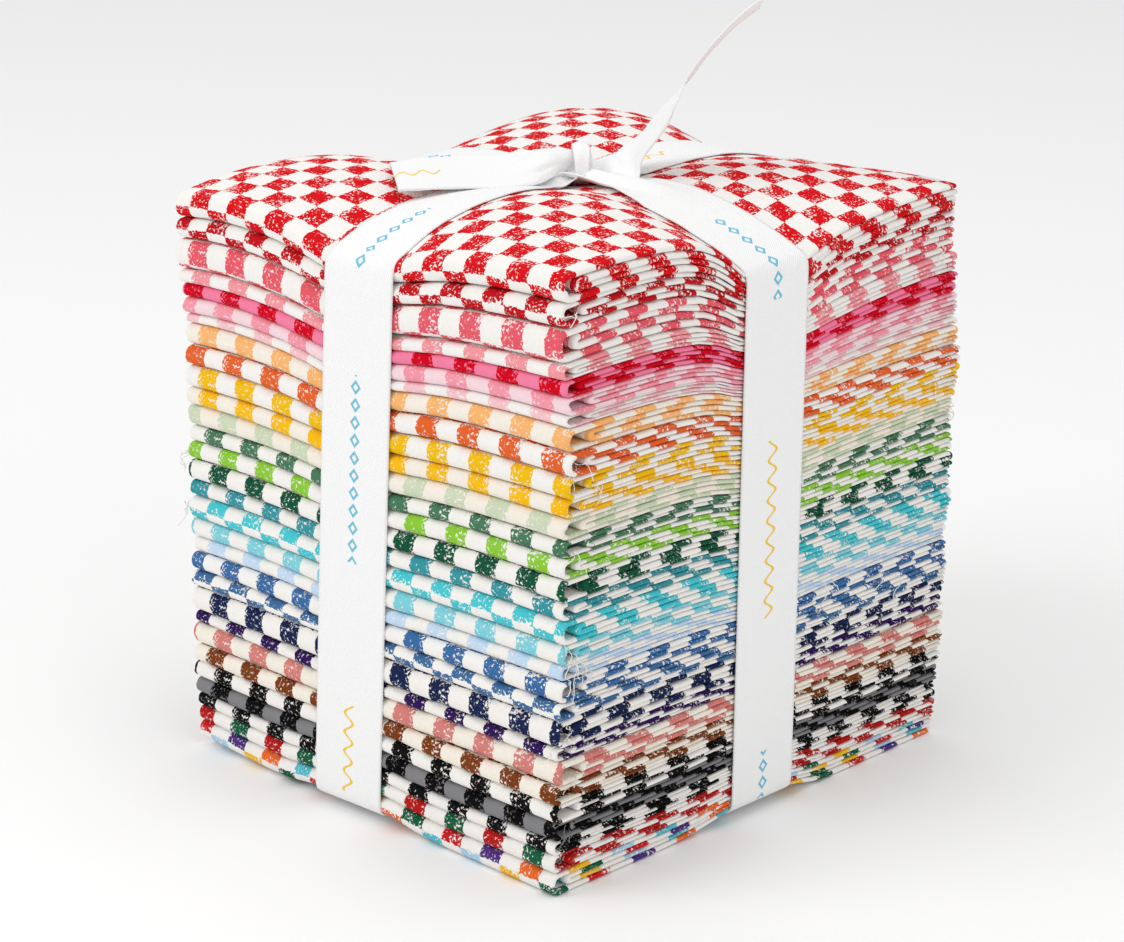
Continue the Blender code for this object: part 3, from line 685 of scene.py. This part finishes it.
def threads_of(number):
    strips = []
    draw = np.random.default_rng(60 + number)
    for cut, x, y, out, count, longest in FRAYED:
        if cut != number:
            continue
        for _ in range(count):
            along = y + draw.uniform(-3.0, 3.0) * (1 if abs(y) < 60 else 0.4)
            level = draw.uniform(0.25, 0.75)
            z = height(cut, x, along) * level + height(cut + 1, x, along) * (1 - level)
            strips.append(loose_thread(draw, (x, along, float(z)), out, draw.uniform(0.4, 1.0) * longest))
    return strips


print(sum(row[4] for row in FRAYED), "threads on", len({row[0] for row in FRAYED}), "cuts")

# %% [markdown]
# ## Making all thirty
#
# The top cut is seen best, so it gets twice as many vertices as the others. A thin cut gets thinner
# cloth, because its sixteen layers have to fit between its two neighbours.

# %% Make the thirty cuts
for number, cut in enumerate(CUTS):
    points, flat_x, flat_y, start, thin = fold_cut(number, 2 if number == 0 else 1)
    thickness = min(CLOTH, 0.7 * thin / 16)
    ground_at = (0.5 * CHECK - start[0], 0.5 * CHECK - start[1])
    made = grid_object(f"cloth_{number + 1:02d}_{cut['name']}", points, flat_x, flat_y, thickness,
                       threads=threads_of(number), thread_at=ground_at)
    made.data.materials.append(cotton(cut, [v * MM for v in start]))
    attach(made, "root")
    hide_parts(f"fat_quarter_{number + 1:02d}_{cut['name']}")

# %% [markdown]
# ## The ribbon's cloth
#
# A bundle like this is tied with woven cotton tape, 21 mm wide. Its fine slanting lines are a
# twill, and both long edges are a little thicker where the threads turn back. The tape has a
# plain border print here: a chain of light blue diamonds, and a yellow wavy line further on.

# %% Twill tape with a border print
def tape_group():
    tree, given, out = new_group(
        "twill_tape", [("Place", "NodeSocketVector", None), ("Width", "NodeSocketFloat", 0.0214)],
        [("Height", "NodeSocketFloat"), ("Tone", "NodeSocketFloat"), ("Diamonds", "NodeSocketFloat"),
         ("Waves", "NodeSocketFloat")])
    split = add_node(tree, "ShaderNodeSeparateXYZ", {0: given["Place"]})
    across, along = split.outputs[0], split.outputs[1]
    slant = sums(tree, "ADD", sums(tree, "MULTIPLY", across, 9000.0), sums(tree, "MULTIPLY", along, 6500.0))
    twill = sums(tree, "SINE", slant)
    slub = add_node(tree, "ShaderNodeTexNoise", {"Vector": given["Place"], "Scale": 1300.0, "Detail": 3.0})
    middle = sums(tree, "MULTIPLY", given["Width"], 0.5)
    off_middle = sums(tree, "ABSOLUTE", sums(tree, "SUBTRACT", across, middle))
    selvedge = sums(tree, "GREATER_THAN", off_middle, sums(tree, "SUBTRACT", middle, 0.0011))
    rise = sums(tree, "ADD", sums(tree, "MULTIPLY", twill, 0.4), slub.outputs[0])
    rise = sums(tree, "ADD", rise, sums(tree, "MULTIPLY", selvedge, 0.6))
    tree.links.new(rise, out["Height"])
    tone = sums(tree, "ADD", sums(tree, "MULTIPLY", sums(tree, "ADD", twill, slub.outputs[0]), 0.045), 0.94)
    tree.links.new(tone, out["Tone"])
    # diamonds: |across| + |along within its repeat| stays under a limit
    repeat = sums(tree, "PINGPONG", along, 0.0021)
    spread = sums(tree, "ADD", off_middle, sums(tree, "MULTIPLY", repeat, 0.9))
    off_line = sums(tree, "ABSOLUTE", sums(tree, "SUBTRACT", spread, 0.0012))
    diamond = sums(tree, "LESS_THAN", off_line, 0.00042)
    tree.links.new(diamond, out["Diamonds"])
    swing = sums(tree, "MULTIPLY", sums(tree, "SINE", sums(tree, "MULTIPLY", along, 1300.0)), 0.0013)
    line = sums(tree, "ABSOLUTE", sums(tree, "SUBTRACT", sums(tree, "SUBTRACT", across, middle), swing))
    tree.links.new(sums(tree, "LESS_THAN", line, 0.00045), out["Waves"])
    return tree


TWILL_TAPE = tape_group()
BLUE_INK, YELLOW_INK = linear((120, 196, 222)), linear((247, 206, 66))


def tape_material(name, blue_parts, yellow_parts):
    """Tape whose print lies on stretches of its length, given as (start, end) in mm."""

    def stretches(tree, along, parts):
        total = None
        for start, end in parts:
            inside = sums(tree, "MULTIPLY", sums(tree, "GREATER_THAN", along, start * MM),
                          sums(tree, "LESS_THAN", along, end * MM))
            total = inside if total is None else sums(tree, "ADD", total, inside)
        return total

    def finish(tree, shader, place):
        tape = add_node(tree, "ShaderNodeGroup", {}, node_tree=TWILL_TAPE)
        tree.links.new(place, tape.inputs["Place"])
        along = add_node(tree, "ShaderNodeSeparateXYZ", {0: place}).outputs[1]
        colour = linear((250, 250, 250))
        for parts, shape, ink in ((blue_parts, "Diamonds", BLUE_INK), (yellow_parts, "Waves", YELLOW_INK)):
            if parts:
                mask = sums(tree, "MULTIPLY", stretches(tree, along, parts), tape.outputs[shape])
                colour = mix_colour(tree, mask, colour, ink)
        if not isinstance(colour, bpy.types.NodeSocket):
            colour = mix_colour(tree, 0.0, colour, colour)
        toned = add_node(tree, "ShaderNodeVectorMath", {0: colour, "Scale": tape.outputs["Tone"]},
                         operation="SCALE")
        tree.links.new(toned.outputs[0], shader.inputs["Base Color"])
        bump = add_node(tree, "ShaderNodeBump", {"Strength": 0.4, "Distance": 0.0002,
                                                 "Height": tape.outputs["Height"]})
        tree.links.new(bump.outputs[0], shader.inputs["Normal"])
        shader.inputs["Roughness"].default_value = 0.75
        shader.inputs["Specular IOR Level"].default_value = 0.25

    return cloth_material(name, finish)


print("tape group:", TWILL_TAPE.name)

# %% [markdown]
# ## Two bands around the stack
#
# Each band is a closed loop of tape. Its route is first drawn in an upright plane: over the swollen
# top, down the side, under the stack and up again. The route is then cut into even steps and
# smoothed, which rounds the turns at the edges as the tape does. Near the knot the tape is drawn
# together, so it gets narrower and its spare width stands up in pleats.

# %% Routes and pleats
def even_route(route, spacing, rounds):
    """A closed route as evenly spaced points, smoothed `rounds` times."""
    route = np.array(route + route[:1], dtype=float)
    lengths = np.concatenate([[0], np.cumsum(np.linalg.norm(np.diff(route, axis=0), axis=1))])
    at = np.linspace(0, lengths[-1], int(lengths[-1] / spacing), endpoint=False)
    points = np.stack([np.interp(at, lengths, route[:, k]) for k in range(route.shape[1])], axis=1)
    for _ in range(rounds):
        points = 0.25 * np.roll(points, 1, axis=0) + 0.5 * points + 0.25 * np.roll(points, -1, axis=0)
    return points


def pleat_height(half, pleats):
    """How high pleats stand when the tape's full width is drawn together to 2 * half."""
    q = np.linspace(-1, 1, 120)
    low, high = 0.0, 8.0
    for _ in range(30):
        middle = (low + high) / 2
        section = np.stack([half * q, middle * np.cos(pleats * math.pi * q)], axis=1)
        if np.linalg.norm(np.diff(section, axis=0), axis=1).sum() > 2 * BAND_HALF:
            high = middle
        else:
            low = middle
    return low


PLEAT_TABLE = [(half, pleat_height(half, 1.5)) for half in np.linspace(2.0, BAND_HALF, 40)]


def pleats_at(half):
    return float(np.interp(half, *zip(*PLEAT_TABLE)))


print("drawn to 6 mm the pleats stand", round(2 * pleats_at(3.0), 1), "mm high")

# %% [markdown]
# ## Laying both bands
#
# The lengthwise band leans a little, and the crosswise band runs over it at the top. Their heights
# come from the same fields as the cloth, so they lie on it wherever it swells or sinks. The printed
# stretches are given as start and end in mm along each loop, which starts at its top edge.

# %% The two bands
TAPE = 0.35
TOP_X, LOW_X = -0.4, -5.3          # the lengthwise band leans: its middle at the top and below
UNDER, CROSSING_UNDER = 2.6, 1.3   # heights of the bands under the stack


def quarter_turn(start, face, top, drop):
    """Points of a rounded edge, from the top of the stack at `start` on to an upright face."""
    return [(start + (face - start) * math.sin(a), top - drop * (1 - math.cos(a)))
            for a in np.linspace(0.2, math.pi / 2, 6)]


def band_route(top_line, ends, edges, drops, under):
    """Closed route of a band: over the top, down the far face, under the stack and up."""
    (low_start, high_start), (low_face, high_face) = ends, edges
    across = np.linspace(low_start, high_start, 70)
    route = [(v, top_line(v)) for v in across]
    route += quarter_turn(high_start, high_face, route[-1][1], drops[1])
    route += [(high_face, 5.0), (high_face - 0.5, 3.2), (high_face - 1.8, UNDER)]
    route += under
    route += [(low_face + 1.8, UNDER), (low_face + 0.5, 3.2), (low_face, 5.0)]
    route += quarter_turn(low_start, low_face, route[0][1], drops[0])[::-1]
    return even_route(route, 1.6, 1)


def drawn_together(distance, tight, reach):
    """Half width of a band at a distance from the knot, where it is `tight`."""
    return BAND_HALF - (BAND_HALF - tight) * (1 - step(3.0, reach, abs(distance)))


def band_grid(route, to_world, side_count):
    """Grid (side, along) of a closed band: to_world(q, point) gives each vertex."""
    grid = np.array([[to_world(q, *point) for point in route] for q in np.linspace(-1, 1, side_count)])
    return np.concatenate([grid, grid[:, :1]], axis=1)


def pleat_rise(q, half, phase):
    """Spare width standing up beside the knot."""
    if half > BAND_HALF - 0.1:
        return 0.0
    return pleats_at(half) * (0.5 + 0.5 * math.cos(1.5 * math.pi * q + phase))


def lengthwise_band():
    def top_line(y):
        return float(height(0, TOP_X, y)) + 0.35 + 1.2 * math.exp(-(y / 8.0) ** 2)

    dip = [(v, z) for v, z in ((18, UNDER), (13, CROSSING_UNDER), (-13, CROSSING_UNDER), (-18, UNDER))]
    points = band_route(top_line, (FRONT_Y + 2.4, BACK_Y - 1.2), (FRONT_Y - 1.05, BACK_Y + 1.25),
                        (3.4, 2.2), dip)

    def to_world(q, y, z):
        on_top = float(step(127, 134, z))
        middle = LOW_X + (TOP_X - LOW_X) * min(max(z / 135, 0), 1)
        half = drawn_together(y, 6.0, 20.0) if y < 0 else drawn_together(y, 8.0, 14.0)
        half = half if on_top > 0.5 else BAND_HALF
        x, at = middle + half * q, min(max(y, FRONT_Y + 2.4), BACK_Y - 1.2)
        level = float(height(0, x, at) - height(0, middle, at))
        return (x, y, z + on_top * (level + 0.6 * pleat_rise(q, half, 0.4)))

    return band_grid(points, to_world, 25)


def crosswise_band():
    def top_line(x):
        over = 0.5 * (1 - step(10.5, 15.0, abs(x - TOP_X)))
        return float(height(0, x, BAND_Y)) + 0.4 + over + 1.2 * math.exp(-(x / 8.0) ** 2)

    points = band_route(top_line, (-HALF_WIDTH, HALF_WIDTH), (-HALF_WIDTH - 1.7, HALF_WIDTH + 1.75),
                        (1.8, 2.0), [])

    def to_world(q, x, z):
        on_top = float(step(127, 134, z))
        half = drawn_together(x, 4.5, 34.0) if x > 0 else drawn_together(x, 8.0, 16.0)
        half = half if on_top > 0.5 else BAND_HALF
        y, at = BAND_Y + half * q, min(max(x, -HALF_WIDTH), HALF_WIDTH)
        level = float(height(0, at, y) - height(0, at, BAND_Y))
        return (x, y, z + on_top * (level + 0.6 * pleat_rise(q, half, -0.5)))

    return band_grid(points, to_world, 25)


def add_tape(name, grid, material, replaced, thickness=TAPE):
    """One strip of tape from its grid, with its UV map in metres."""
    middle = grid[grid.shape[0] // 2]
    along = np.concatenate([[0], np.cumsum(np.linalg.norm(np.diff(middle, axis=0), axis=1))])
    across = np.linspace(0, 2 * BAND_HALF, grid.shape[0])
    closed = bool(np.allclose(grid[:, 0], grid[:, -1]))
    made = grid_object(name, grid, across, along, thickness, closed)
    made.data.materials.append(material)
    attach(made, "root")
    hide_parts(replaced)
    print(name, round(float(along[-1])), "mm long,", len(made.data.polygons), "faces")


def tape_length(grid):
    middle = grid[grid.shape[0] // 2]
    return float(np.linalg.norm(np.diff(middle, axis=0), axis=1).sum())


long_loop = lengthwise_band()
end = tape_length(long_loop)
add_tape(
    "tape_lengthwise", long_loop,
    tape_material("tape_lengthwise", [(0, 20), (end - 75, end - 30), (end - 6, end)],
                  [(87, 101), (end - 132, end - 110)]),
    "ribbon_lengthwise")
add_tape(
    "tape_crosswise", crosswise_band(),
    tape_material("tape_crosswise", [(14, 40), (108, 135), (244, 256)], [(168, 211)]),
    "ribbon_crosswise")

# %% [markdown]
# ## The knot
#
# The knot is the tape itself. Both free ends run through it, drawn together to less than a third
# of their width, with the spare width turned under at both edges. One more stretch of tape, folded
# flat into six layers, is wound once around this waist, and its ends are hidden underneath.

# %% Strips along any route
AXIS = Vector((0.736, 0.677, 0.0))            # from the lying tail to the upstanding one
CROSS = Vector((0.677, -0.736, 0.0))
UP = Vector((0.0, 0.0, 1.0))
KNOT = Vector((0.4, 0.3, 145.4))


def spline(rows, count):
    """Rows of numbers drawn out to `count` rows along a smooth line through them."""
    rows = np.array(rows, dtype=float)
    made = []
    for value in np.linspace(0, len(rows) - 1, count):
        k = min(int(value), len(rows) - 2)
        t = value - k
        p0, p1, p2, p3 = (rows[min(max(k + d, 0), len(rows) - 1)] for d in (-1, 0, 1, 2))
        made.append(0.5 * (2 * p1 + (p2 - p0) * t + (2 * p0 - 5 * p1 + 4 * p2 - p3) * t * t
                           + (3 * p1 - p0 - 3 * p2 + p3) * t ** 3))
    return np.array(made)


def strip_grid(middles, ways, sections):
    """Grid of a strip from its middles, its width directions, and a (side, rise) section at each."""
    middles, ways = np.array(middles, dtype=float), np.array(ways, dtype=float)
    normal = np.cross(np.gradient(middles, axis=0), ways)
    normal /= np.linalg.norm(normal, axis=1)[:, None]
    ways = ways / np.linalg.norm(ways, axis=1)[:, None]
    grid = middles[:, None] + ways[:, None] * sections[:, :, :1] + normal[:, None] * sections[:, :, 1:]
    return grid.transpose(1, 0, 2)


def flat_folded(layers, count, pitch, crown):
    """Section of tape folded back and forth in its width, its layers stacked outwards."""
    ply = 2 * BAND_HALF / layers
    section = []
    for w in np.linspace(0, 2 * BAND_HALF, count):
        k = min(int(w / ply), layers - 1)
        local = w / ply - k
        side = ply * (local - 0.5) * (1 if k % 2 == 0 else -1)
        rise = k + 0.5 * step(0.82, 1.0, local) - (0.5 * (1 - step(0.0, 0.18, local)) if k else 0.0)
        section.append((side, pitch * rise + crown * (1 - (2 * side / ply) ** 2)))
    return np.array(section)


def knot_grid():
    """One turn around the waist, a little more than full, starting and ending out of sight."""
    middles, ways, sections = [], [], []
    for a in np.linspace(1.3 * math.pi, 3.4 * math.pi, 90):
        radius = 3.2 + 0.2 * (a / math.pi - 1.3)
        place = 1.0 + 0.5 * math.sin(a)
        middles.append(KNOT + CROSS * math.sin(a) * radius + UP * math.cos(a) * radius + AXIS * place)
        ways.append(AXIS)
        section = flat_folded(6, 49, 0.24, 0.3) * np.array([1.0 + 0.14 * math.sin(2.0 * a + 0.6), 1.0])
        section[:, 1] += 0.2 * np.sin(section[:, 0] * 2.1 + 1.3 * a)
        sections.append(section)
    return strip_grid(middles, ways, np.array(sections))


LEFT_TAIL = [  # the far and the near edge of the tape, in mm
    (2.5, 3.5, 147.6, 4.0, 2.2, 144.6), (-0.6, 0.8, 148.2, 1.0, -0.8, 144.4),
    (-3.4, -1.6, 148.5, 0.2, -4.8, 143.9), (-5.6, -4.8, 148.6, 2.4, -10.8, 144.0),
    (-8.4, -9.0, 148.1, 4.0, -18.0, 144.2), (-12.6, -12.9, 147.4, 1.9, -25.1, 144.3),
    (-17.8, -16.3, 146.9, -2.2, -29.5, 144.3), (-21.7, -22.2, 146.8, -5.7, -34.8, 144.5),
    (-24.5, -27.2, 146.8, -8.5, -40.0, 144.7), (-27.0, -33.5, 146.4, -12.2, -45.5, 144.8),
]
UP_TAIL = [
    (-5.0, -2.6, 146.4, -3.0, -4.2, 143.4), (-2.4, -0.2, 147.4, 0.2, -2.4, 143.8),
    (0.2, 2.2, 147.2, 2.4, 0.0, 143.8), (3.6, 5.2, 145.8, 5.6, 3.0, 143.6),
    (4.4, 8.4, 146.2, 10.4, 3.4, 143.9), (1.8, 14.6, 147.0, 17.6, 2.4, 144.4),
    (4.0, 19.2, 150.2, 16.1, 5.2, 148.2), (5.2, 20.8, 152.8, 20.2, 8.6, 156.0),
    (8.4, 22.8, 157.4, 24.8, 8.4, 163.2), (12.4, 25.3, 162.7, 26.2, 10.3, 169.1),
    (15.9, 28.4, 169.3, 29.7, 13.4, 175.7), (20.7, 32.8, 176.4, 34.5, 17.8, 182.8),
    (24.6, 36.5, 180.6, 38.4, 21.5, 187.0),
]


def turned_under(reach, crown, dent):
    """Section of tape drawn together to `reach`: crowned on top, its spare width under both edges.

    The dent is a crease beside the middle, toward the near edge."""
    bend = 0.35
    flat = max(reach / 2 - bend, 0.8)
    section = []
    for w in np.linspace(-BAND_HALF, BAND_HALF, 45):
        s = abs(w)
        turn = min(max((s - flat) / bend, 0), math.pi)
        under = min(max(s - flat - math.pi * bend, 0), 1.7 * flat)
        side = math.copysign(min(s, flat) + bend * math.sin(turn) - under, w)
        rise = -bend * (1 - math.cos(turn)) - (0.3 * under / flat if w > 0 else 0.0)
        q = side / (flat + bend)
        rise += crown * (1 - q * q) - dent * math.exp(-((q - 0.45) / 0.13) ** 2)
        section.append((side, rise))
    return section


def tail_grid(rows, count, crown, dent, facing):
    """A free end from its two edges: drawn together in the knot, flat further out.

    Facing is 1 or -1, so that the turned-under edges lie below on either side of the knot."""
    drawn = spline(rows, count)
    far, near = drawn[:, :3], drawn[:, 3:]
    reach = np.linalg.norm(near - far, axis=1)
    row = np.linspace(0, len(rows) - 1, count)
    sections = [turned_under(width, crown * (1 - step(9.0, 19.0, width)),
                             dent * math.exp(-((k - 3.3) / 0.7) ** 2)) for k, width in zip(row, reach)]
    return strip_grid((far + near) / 2, near - far, np.array(sections) * (1.0, facing))


add_tape("tape_knot", knot_grid(), tape_material("tape_knot", [], []), "ribbon_knot",
         thickness=0.22)
add_tape("tape_tail_left", tail_grid(LEFT_TAIL, 60, 1.5, 1.0, 1),
         tape_material("tape_tail_left", [], [(38, 52)]), "ribbon_tail_left",
         thickness=0.25)
add_tape("tape_tail_up", tail_grid(UP_TAIL, 80, 0.8, 0.0, -1), tape_material("tape_tail_up", [], []),
         "ribbon_tail_up", thickness=0.25)
